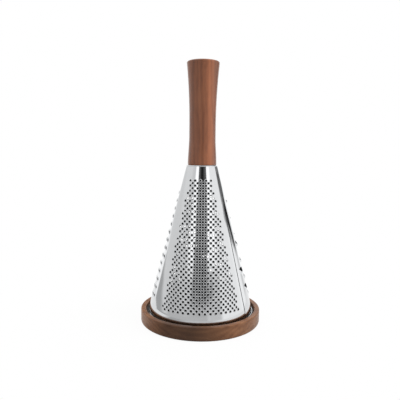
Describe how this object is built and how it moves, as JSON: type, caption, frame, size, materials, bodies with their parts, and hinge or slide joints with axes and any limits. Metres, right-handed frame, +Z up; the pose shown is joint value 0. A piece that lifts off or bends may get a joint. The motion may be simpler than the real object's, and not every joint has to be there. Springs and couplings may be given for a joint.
{
  "type": "conical cheese grater with tray",
  "caption": "Tall polished steel cone grater with fine, medium and coarse teeth, a turned wooden handle and a round wooden tray that it lifts off.",
  "frame": {"origin": "centre of the tray's flat underside", "axes": "+Z up along the cone's axis, fine teeth towards -Y, coarse teeth towards +X and the rear, medium teeth towards -X and the rear"},
  "size_m": [0.186, 0.186, 0.3986],
  "materials": {
    "tray_wood": "oiled satin",
    "handle_wood": "oiled satin",
    "polished_sheet": "mirror polished",
    "polished_cap": "mirror polished",
    "insert_brass": "machined",
    "fastener_steel": "plain"
  },
  "bodies": {
    "base": {"base_tray": "tray_wood"},
    "grater": {"grater_shell": "polished_sheet", "top_cap": "polished_cap", "handle": "handle_wood", "threaded_insert": "insert_brass", "handle_screw": "fastener_steel", "flat_washer": "fastener_steel", "lock_washer": "fastener_steel"}
  },
  "joints": [
    {"name": "grater_lift", "type": "slide", "parent": "base", "child": "grater", "axis": [0, 0, 1], "range_m": [0, 0.1]}
  ]
}
